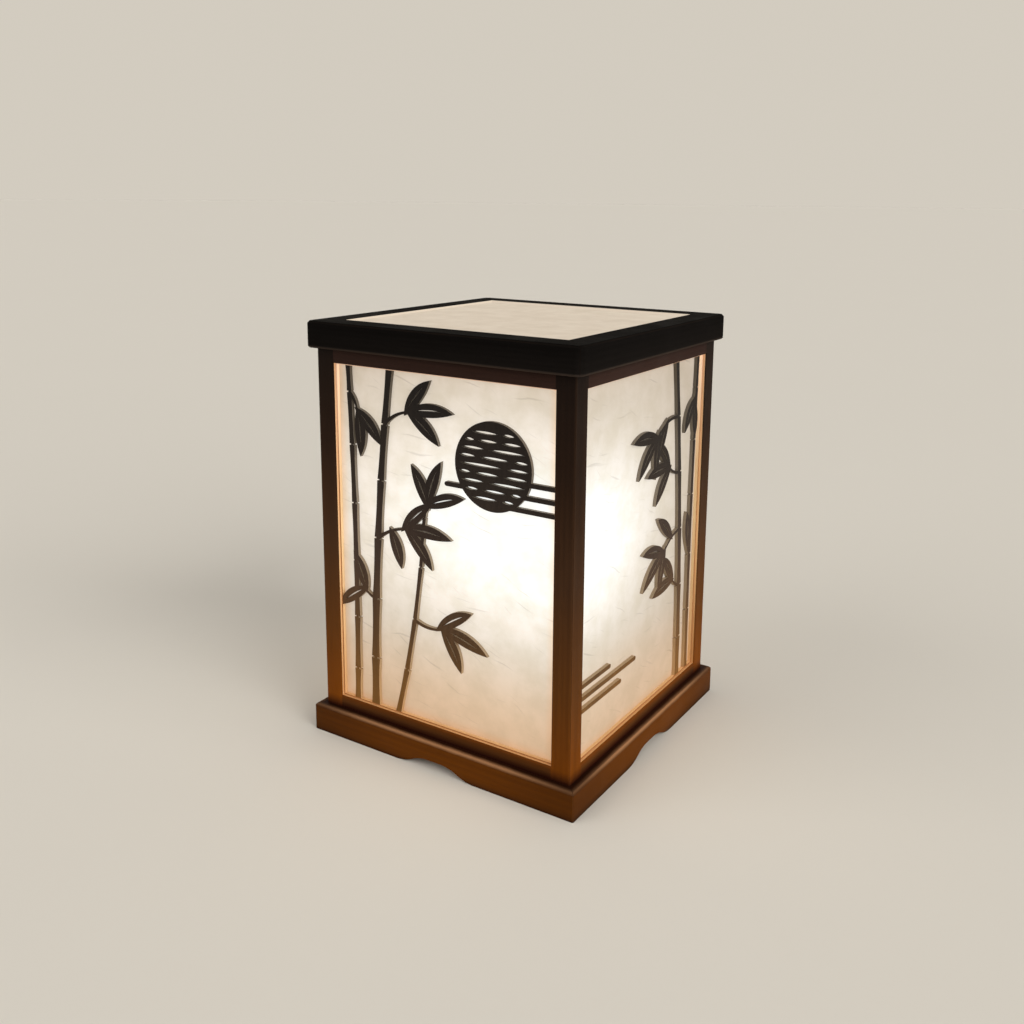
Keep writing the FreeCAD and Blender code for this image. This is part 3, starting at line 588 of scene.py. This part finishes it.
def make_fibre_effect():
    """Long loose fibres and soft clouds in a flat sheet, from the place on it."""
    inputs = dict.fromkeys(("Across", "Up", "Seed"), "Float")
    group, given, result = effect("Paper fibres", inputs, {"Fibres": "Float", "Clouds": "Float"})
    flat = {"X": given["Across"], "Y": given["Up"], "Z": given["Seed"]}
    flat = put(group, "CombineXYZ", flat).outputs["Vector"]
    inputs = {"Vector": flat, "Scale": fibre_bend_scale, "Detail": 2.0}
    bends = put(group, "TexNoise", inputs).outputs["Color"]
    inputs = {0: bends, 1: (fibre_bend, fibre_bend, 0.0), 2: flat}
    bent = put(group, "VectorMath", inputs, operation="MULTIPLY_ADD").outputs["Vector"]
    fibres = 0.0
    for slant, scale, rarity in fibre_layers:
        turned = put(group, "Mapping", {"Vector": bent, "Rotation": (0.0, 0.0, slant)}).outputs["Vector"]
        slim = scaled(group, turned, (1.0, fibre_slimness, 1.0))
        layer = noise(group, slim, scale, detail=1.0, roughness=0.4)
        layer = span(group, layer, rarity, rarity + fibre_softness)
        fibres = maths(group, "MAXIMUM", fibres, layer)
    feed(group, result["Fibres"], fibres)
    feed(group, result["Clouds"], noise(group, flat, paper_cloud_scale, detail=4.0, roughness=0.6))
    return group


def make_glow_effect():
    """The light that a place on a pane gives off: white near the bulb, and peach at the foot and
    at the frame. The foot takes no tint."""
    inputs = dict.fromkeys(("Across", "Up", "Hot Across", "Hot Up", "Reach Across", "Reach Up"), "Float")
    group, given, result = effect("Glow", {**inputs, "Tint": "Vector"}, {"Color": "Color"})
    fall = 1.0
    for way in ("Across", "Up"):
        off = maths(group, "SUBTRACT", given[way], given["Hot " + way])
        share = maths(group, "DIVIDE", off, given["Reach " + way])
        fall = maths(group, "ADD", fall, maths(group, "POWER", share, 2.0))
    colour = ramped(group, maths(group, "DIVIDE", 1.0, fall), glow_stops)
    foot = span(group, given["Up"], *foot_range)
    tinted = scaled(group, colour, given["Tint"])
    colour = mixed(group, foot, tinted, scaled(group, colour, foot_warmth))
    beside = maths(group, "SUBTRACT", opening_half, maths(group, "ABSOLUTE", given["Across"]))
    above = maths(group, "SUBTRACT", given["Up"], opening_bottom)
    rim = span(group, maths(group, "MINIMUM", beside, above), *rim_range)
    feed(group, result["Color"], mixed(group, rim, colour, scaled(group, colour, rim_warmth)))
    return group


fibre_effect = make_fibre_effect()
glow_effect = make_glow_effect()


def lay_fibres(tree, shader, flat, seed):
    """Gives a sheet of paper its own colour, roughness and relief, and returns its pattern."""
    sheet = placed(tree, fibre_effect, {**flat, "Seed": seed})
    fibre_share = maths(tree, "MULTIPLY", sheet["Fibres"], fibre_strength)
    colour = mixed(tree, fibre_share, colour_of(paper_cream), colour_of(fibre_grey))
    relief = maths(tree, "ADD", sheet["Clouds"], sheet["Fibres"])
    feed(tree, shader["Base Color"], colour)
    feed(tree, shader["Roughness"], varied(tree, sheet["Clouds"], *paper_roughness))
    feed(tree, shader["Normal"], bumped(tree, relief, paper_relief))
    return sheet


def lit_paper(name, axis, light, seed):
    """A side pane's paper. The axis is the one that runs across the pane."""
    material, tree, shader = finish(name, {"Specular IOR Level": paper_gloss, "Emission Strength": 1.0})
    place = split(tree, object_place(tree))
    flat = {"Across": place[axis], "Up": place["Z"]}
    sheet = lay_fibres(tree, shader, flat, seed)
    glow = placed(tree, glow_effect, {**flat, **light})["Color"]
    veil = mixed(tree, varied(tree, sheet["Clouds"]), paper_thin, paper_thick)
    dimmed = maths(tree, "MULTIPLY_ADD", sheet["Fibres"], -fibre_shadow, 1.0)
    veil = put(tree, "VectorMath", {0: veil, "Scale": dimmed}, operation="SCALE").outputs["Vector"]
    feed(tree, shader["Emission Color"], scaled(tree, glow, veil))
    return material


for side, axis, light, seed in (
    ("front", "X", front_glow, 0.0),
    ("right", "Y", right_glow, 3.0),
    ("back", "X", even_glow, 6.0),
    ("left", "Y", even_glow, 9.0),
):
    dress(["paper_pane_" + side], lit_paper("paper_" + side, axis, light, seed))


# Fretwork and plain borders
# Thin sheets sawn from stained board and let in behind the lip. The stain is warm with painted bounce
# light low down and dark with painted shade up high. The sawn edges are paler than the faces and carry
# a painted highlight, and a hair of each sheet's border shows round the opening, painted bright with
# the paper's light and given a painted glow.

# The faces' stain by height, warm with painted bounce light low down and dark with painted shade up high
sheet_stain_and_light = ((0.06, "#7d5527"), (0.14, "#5c4228"), (0.22, "#42332a"), (0.32, "#2a221d"), (0.42, "#1b1613"))
# The sawn edges, paler than the faces and lit with a painted highlight
sawn_edge_highlight = ((0.06, "#c4a176"), (0.14, "#a69176"), (0.30, "#877d70"), (0.42, "#625b51"))
# The border that shows round the opening, painted bright with the paper's light
border_wood_and_light = ((0.06, "#e8bd88"), (0.25, "#ffe0b0"), (0.42, "#f0c89c"))
# A painted glow on that border, standing for the paper's light
border_glow = ((0.30, "#000000"), (0.42, "#a89a8a"))
border_reveal = 0.0012
sheet_gloss = 0.12
sheet_relief = 0.00005
# A face whose normal has less than this along the sheet's thickness is a sawn edge
sawn_facing = 0.5


def fretwork_sheet(name, axis):
    """The sheet's finish, with painted light and shade up its faces, a painted highlight on its sawn
    edges and a painted glow on its border. The axis is the one through its thickness.
    """
    material, tree, shader = finish(name, {"Specular IOR Level": sheet_gloss})
    coordinates = put(tree, "TexCoord", {}).outputs
    place = coordinates["Object"]
    wood = grained(tree, place, by_height(tree, place, sheet_stain_and_light), seed=6.4)
    facing = maths(tree, "ABSOLUTE", split(tree, coordinates["Normal"])[axis])
    sawn = maths(tree, "LESS_THAN", facing, sawn_facing)
    reach = -border_reveal - trim_reach / 2
    opening = placed(tree, opening_effect, {"Place": place, "Reach": reach})
    face = mixed(tree, sawn, wood["Color"], by_height(tree, place, sawn_edge_highlight))
    border = mixed(tree, opening["Seam"], by_height(tree, place, border_wood_and_light), colour_of(seam_brown))
    glow = by_height(tree, place, border_glow)
    feed(tree, shader["Base Color"], mixed(tree, opening["Inside"], border, face))
    feed(tree, shader["Emission Color"], mixed(tree, opening["Inside"], glow, colour_of(unlit)))
    feed(tree, shader["Emission Strength"], 1.0)
    feed(tree, shader["Roughness"], varied(tree, wood["Figure"], *oiled_roughness))
    feed(tree, shader["Normal"], bumped(tree, wood["Height"], sheet_relief))
    return material


dress(["fretwork_front", "plain_border_back"], fretwork_sheet("sheet_facing_y", "Y"))
dress(["fretwork_right", "plain_border_left"], fretwork_sheet("sheet_facing_x", "X"))


# Glazing beads
# Thin strips of bare wood, let into the rebates behind the paper to hold it. Each side has two
# upright ones and two across.

bead_light = "#ecc8a0"
bead_dark = "#d8ae82"
for direction, sides in sides_along.items():
    cross_wood = bare_wood("cross_bead_" + direction, direction, bead_light, bead_dark, seed=7.7)
    dress(["cross_beads_" + side for side in sides], cross_wood)
upright_beads = [name for name in nodes if name.startswith("upright_beads_")]
dress(upright_beads, bare_wood("upright_bead", "Z", bead_light, bead_dark, seed=3.3))


# Cap
# A mitred frame of almost black walnut, keyed at its corners, with paper under its lip. It
# lifts off on four dowels.

# The cap's stain by height, with a painted highlight along its bottom chamfer
cap_stain_and_highlight = ((0.4535, "#352d28"), (0.4547, "#352d28"), (0.4552, "#151210"), (0.483, "#100e0d"))
cap_wear = 0.03
cap_gloss = 0.004
beech_light = "#c9a077"
beech_dark = "#a97c50"
cap_glow = "#b7ac9f"
cap_glow_dim = "#ada193"
cap_paper_gloss = 0.05

cap_bottom, cap_top = [corner.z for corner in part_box("cap_rail_front")]
cap_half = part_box("cap_rail_right")[1].x
cap_inner_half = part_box("cap_rail_right")[0].x


def cap_wood(name, direction):
    """The cap's walnut. The thin edge of its lip is bright with the light of the paper."""
    edges = {"Half Width": cap_half, "Bottom": cap_bottom, "Top": cap_top, **slight_rub}
    finished = stained_wood(name, direction, cap_stain_and_highlight, edges, cap_wear, cap_gloss, seed=9.6)
    material, tree, shader, colour, place = finished
    outward = maths(tree, "MAXIMUM", *off_middle(tree, place))
    lip_edge = maths(tree, "LESS_THAN", outward, cap_inner_half + trim_reach)
    feed(tree, shader["Base Color"], mixed(tree, lip_edge, colour, colour_of(paper_cream)))
    feed(tree, shader["Emission Color"], mixed(tree, lip_edge, colour_of(unlit), colour_of(cap_glow)))
    feed(tree, shader["Emission Strength"], 1.0)
    return material


def cap_paper():
    """The cap's paper, evenly lit because the bulb is far below it."""
    values = {"Specular IOR Level": cap_paper_gloss, "Emission Strength": 1.0}
    material, tree, shader = finish("paper_cap", values)
    place = split(tree, object_place(tree))
    sheet = lay_fibres(tree, shader, {"Across": place["X"], "Up": place["Y"]}, seed=12.0)
    veil = varied(tree, sheet["Clouds"])
    feed(tree, shader["Emission Color"], mixed(tree, veil, colour_of(cap_glow), colour_of(cap_glow_dim)))
    return material


for direction, sides in sides_along.items():
    dress(["cap_rail_" + side for side in sides], cap_wood("cap_walnut_" + direction, direction))
dress(["cap_mitre_keys", "cap_dowels"], bare_wood("key_beech", "Z", beech_light, beech_dark, seed=1.9))
dress(["cap_beads"], bare_wood("cap_bead", "X", bead_light, bead_dark, seed=2.2))
dress(["paper_pane_cap"], cap_paper())


# Stem
# A steel pipe through the board, clamped by a turned flange above and by a washer and a nut
# below. The flange has a coat of black hammered enamel.

enamel_black = "#1b1a19"
enamel_grey = "#2b2a28"
enamel_roughness = (0.34, 0.46)
enamel_relief = 0.0001
dimple_scale = 420.0
dimple_range = (0.35, 0.65)


def hammered_enamel():
    """Black enamel that has dried in small dimples."""
    material, tree, shader = finish("flange_enamel", {"Coat Weight": 0.3, "Coat Roughness": 0.2})
    dimples = noise(tree, object_place(tree), dimple_scale, detail=1.0)
    raised = span(tree, dimples, *dimple_range)
    feed(tree, shader["Base Color"], mixed(tree, raised, colour_of(enamel_black), colour_of(enamel_grey)))
    feed(tree, shader["Roughness"], varied(tree, dimples, *enamel_roughness))
    feed(tree, shader["Normal"], bumped(tree, dimples, enamel_relief))
    return material


stem_zinc = cloudy_metal("stem_zinc", zinc_light, zinc_dark, turning=0.6)
dress(["stem_pipe", "stem_washer", "stem_nut"], stem_zinc)
dress(["stem_flange"], hammered_enamel())


# Lampholder
# A black moulded cup at the top of the stem, with a brass screw sleeve inside it and a round
# brass contact on its floor.

moulding_black = "#232120"
moulding_grey = "#343130"
moulding_scale = 900.0
moulding_variety = 0.1
moulding_relief = 0.00003
brass_light = "#d9b36c"
brass_dark = "#a9803f"


def moulded(name, light, dark, roughness):
    """A fine-textured black moulding."""
    material, tree, shader = finish(name, {"Specular IOR Level": 0.5})
    texture = noise(tree, object_place(tree), moulding_scale)
    feed(tree, shader["Base Color"], mixed(tree, texture, colour_of(dark), colour_of(light)))
    feed(tree, shader["Roughness"], varied(tree, texture, roughness, roughness + moulding_variety))
    feed(tree, shader["Normal"], bumped(tree, texture, moulding_relief))
    return material


dress(["lampholder_body"], moulded("holder_moulding", moulding_grey, moulding_black, roughness=0.4))
brass = cloudy_metal("holder_brass", brass_light, brass_dark, turning=0.4)
dress(["lampholder_sleeve", "lampholder_contact"], brass)


# Bulb
# A tubular opal glass in a rolled aluminium screw cap, with a black glass insulator and a
# soldered tip under it. It is lit.

opal_white = "#f4efe4"
opal_foot = "#c7a173"
opal_glow = (1.0, 0.90, 0.74, 1.0)
opal_strength = 1.6
opal_roughness = (0.4, 0.3)
# The light grows from this level at the glass's foot to its full level at this share of its height
foot_level = 0.35
full_light_share = 0.45
aluminium_light = "#cfcfcb"
aluminium_dark = "#a8a8a4"
insulator_black = "#141414"
insulator_grey = "#202020"
lathe_turns = 56
sharp_angle = 50.0
thread_pitch = 0.00362
thread_depth = 0.0007
thread_fade = 0.0018
screw_rim = 0.0045
screw_foot_taper = 0.0012
neck_slack = 0.0012
collar_height = 0.004
shoulder_height = 0.0075
crown_height = 0.013


def turned_piece(name, profile):
    """A lathe-turned solid on the bulb's axis, from points of (radius, height, thread), where the
    thread is the share of its full depth that is cut into the radius there."""
    shape = bmesh.new()
    rings = []
    for radius, height, thread in profile:
        ring = []
        for turn in range(lathe_turns):
            angle = 2 * math.pi * turn / lathe_turns
            groove = 0.5 - 0.5 * math.cos(2 * math.pi * height / thread_pitch - angle)
            reach = radius - thread * thread_depth * groove
            ring.append(shape.verts.new((reach * math.cos(angle), reach * math.sin(angle), height)))
        rings.append(ring)
    for lower, upper in zip(rings, rings[1:]):
        for turn in range(lathe_turns):
            beyond = (turn + 1) % lathe_turns
            shape.faces.new((lower[turn], lower[beyond], upper[beyond], upper[turn]))
    shape.faces.new(rings[0])
    shape.faces.new(rings[-1])
    bmesh.ops.recalc_face_normals(shape, faces=shape.faces)
    mesh = bpy.data.meshes.new(name)
    shape.to_mesh(mesh)
    shape.free()
    mesh.shade_smooth()
    mesh.set_sharp_from_angle(angle=math.radians(sharp_angle))
    piece = bpy.data.objects.new(name, mesh)
    bpy.context.scene.collection.objects.link(piece)
    return piece


def screw_cap_profile():
    """A plain rolled rim over a screw thread that fades out at both of its ends."""
    low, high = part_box("bulb_screw_cap")
    radius = high.x
    thread_bottom = low.z + screw_foot_taper
    thread_top = high.z - screw_rim
    steps = 64
    points = [(radius - screw_foot_taper, low.z, 0.0)]
    for step in range(steps + 1):
        height = thread_bottom + (thread_top - thread_bottom) * step / steps
        from_end = min(height - thread_bottom, thread_top - height)
        points.append((radius, height, min(1.0, from_end / thread_fade)))
    points.append((radius, high.z, 0.0))
    return points


def glass_profile():
    """A neck out of the cap, a shoulder that swells to the tube, and a rounded crown."""
    low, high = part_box("bulb_glass")
    screw_cap_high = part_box("bulb_screw_cap")[1]
    neck = screw_cap_high.x - neck_slack
    collar_top = screw_cap_high.z + collar_height
    crown_foot = high.z - crown_height
    steps = 14
    points = [(neck, low.z, 0.0), (neck, collar_top, 0.0)]
    for step in range(1, steps + 1):
        swell = 0.5 - 0.5 * math.cos(math.pi * step / steps)
        points.append((neck + (high.x - neck) * swell, collar_top + shoulder_height * step / steps, 0.0))
    for step in range(steps):
        angle = math.pi / 2 * step / steps
        points.append((high.x * math.cos(angle), crown_foot + crown_height * math.sin(angle), 0.0))
    return points


def opal_glass():
    """Opal glass, lit evenly but for its foot, where the cap is in the way."""
    values = {"Emission Strength": opal_strength, "Coat Weight": 0.6, "Coat Roughness": 0.05}
    material, tree, shader = finish("bulb_opal", values)
    bottom, top = [corner.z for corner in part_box("bulb_glass")]
    up = maths(tree, "SUBTRACT", split(tree, object_place(tree))["Z"], bottom)
    up = maths(tree, "DIVIDE", up, top - bottom)
    level = span(tree, up, 0.0, full_light_share, foot_level, 1.0)
    shade = put(tree, "CombineColor", {"Red": level, "Green": level, "Blue": level}).outputs["Color"]
    feed(tree, shader["Base Color"], mixed(tree, level, colour_of(opal_foot), colour_of(opal_white)))
    feed(tree, shader["Emission Color"], mixed(tree, 1.0, opal_glow, shade, blend="MULTIPLY"))
    feed(tree, shader["Roughness"], span(tree, level, 0.0, 1.0, *opal_roughness))
    return material


aluminium = cloudy_metal("bulb_aluminium", aluminium_light, aluminium_dark, turning=0.2)
for name, profile, node, material, slot in (
    ("opal_tube", glass_profile(), "bulb_glass", opal_glass(), "opal_glass"),
    ("threaded_cap", screw_cap_profile(), "bulb_screw_cap", aluminium, "cap_metal"),
):
    piece = turned_piece(name, profile)
    piece.data.materials.append(material)
    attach(piece, "bulb")
    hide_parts(node)
    dress([node], material)
dress(["bulb_contact_tip"], aluminium)
dress(["bulb_insulator"], moulded("bulb_insulator", insulator_grey, insulator_black, roughness=0.2))


# Studio
# A plain pale floor that runs to the horizon, two broad soft lights low on the left and the
# right, and even light all round. The backdrop is as pale as the lit floor.

floor_pale = "#e6e0d5"
floor_shade = "#d2cabc"
floor_reach = 150.0
floor_cloud_scale = 1.5
floor_cloudiness = 0.04
lamp_white = (1.0, 0.985, 0.96)
air_strength = 0.42
# The azimuth in degrees, from 0 in front to 90 on the right, the elevation and the strength
soft_lights = {"left_light": (-35.0, 28.0, 0.8), "right_light": (80.0, 22.0, 2.35)}
light_spread = 50.0

# The photograph's camera, solved from the corners of the lamp: its place and its own three axes
camera_place = (0.64351, -1.00222, 0.61482)
camera_right = (0.84283648, 0.53809949, 0.00869541)
camera_up = (-0.10888421, 0.15467987, 0.98194621)
camera_back = (0.52703975, -0.82856688, 0.18896037)
sensor_width = 36.0
lens_length = 36.67
lens_shift = (-0.01565, -0.1089)


def make_floor():
    """A wide sheet of pale paint, faintly cloudy."""
    mesh = bpy.data.meshes.new("studio_floor")
    corners = [(x * floor_reach, y * floor_reach, 0.0) for x, y in ((-1, -1), (1, -1), (1, 1), (-1, 1))]
    mesh.from_pydata(corners, [], [(0, 1, 2, 3)])
    floor = bpy.data.objects.new("studio_floor", mesh)
    bpy.context.scene.collection.objects.link(floor)
    material, tree, shader = finish("floor_paint", {"Roughness": 1.0, "Specular IOR Level": 0.0})
    clouds = noise(tree, object_place(tree), floor_cloud_scale)
    cloud_share = maths(tree, "MULTIPLY", clouds, floor_cloudiness)
    feed(tree, shader["Base Color"], mixed(tree, cloud_share, colour_of(floor_pale), colour_of(floor_shade)))
    mesh.materials.append(material)


def make_world():
    """Air that lights the lamp evenly, and a backdrop for the rays that see or mirror it."""
    world = bpy.data.worlds.new("studio_air")
    bpy.context.scene.world = world
    world.use_nodes = True
    tree = world.node_tree
    tree.nodes.clear()
    rays = put(tree, "LightPath", {}).outputs
    mirrored = maths(tree, "MAXIMUM", rays["Is Glossy Ray"], rays["Is Transmission Ray"])
    seen = maths(tree, "MAXIMUM", rays["Is Camera Ray"], mirrored)
    floor_level = air_strength
    for _, elevation, strength in soft_lights.values():
        floor_level += strength * math.sin(math.radians(elevation)) / math.pi
    far_floor = [shade * tint for shade, tint in zip(colour_of(floor_pale), lamp_white)]
    backdrop = put(tree, "Background", {"Color": (*far_floor, 1.0), "Strength": floor_level})
    air = put(tree, "Background", {"Color": (*lamp_white, 1.0), "Strength": air_strength})
    shown = put(tree, "MixShader", {0: seen, 1: air.outputs[0], 2: backdrop.outputs[0]})
    put(tree, "OutputWorld", {"Surface": shown.outputs[0]})


def make_soft_light(name, azimuth, elevation, strength):
    """A broad light from far away."""
    lamp = bpy.data.lights.new(name, "SUN")
    lamp.energy = strength
    lamp.angle = math.radians(light_spread)
    lamp.color = lamp_white
    light = bpy.data.objects.new(name, lamp)
    bpy.context.scene.collection.objects.link(light)
    across, up = math.radians(azimuth), math.radians(elevation)
    source = Vector((math.sin(across) * math.cos(up), -math.cos(across) * math.cos(up), math.sin(up)))
    light.rotation_mode = "QUATERNION"
    light.rotation_quaternion = source.to_track_quat("Z", "Y")


def make_camera():
    """The camera, at the photograph's angle."""
    data = bpy.data.cameras.new("camera")
    data.sensor_width = sensor_width
    data.lens = lens_length
    data.shift_x, data.shift_y = lens_shift
    camera = bpy.data.objects.new("camera", data)
    bpy.context.scene.collection.objects.link(camera)
    camera.location = camera_place
    camera.rotation_mode = "QUATERNION"
    axes = Matrix((camera_right, camera_up, camera_back)).transposed()
    camera.rotation_quaternion = axes.to_quaternion()
    bpy.context.scene.camera = camera


make_floor()
make_world()
for name, (azimuth, elevation, strength) in soft_lights.items():
    make_soft_light(name, azimuth, elevation, strength)
make_camera()
bpy.context.scene.view_settings.view_transform = "Standard"
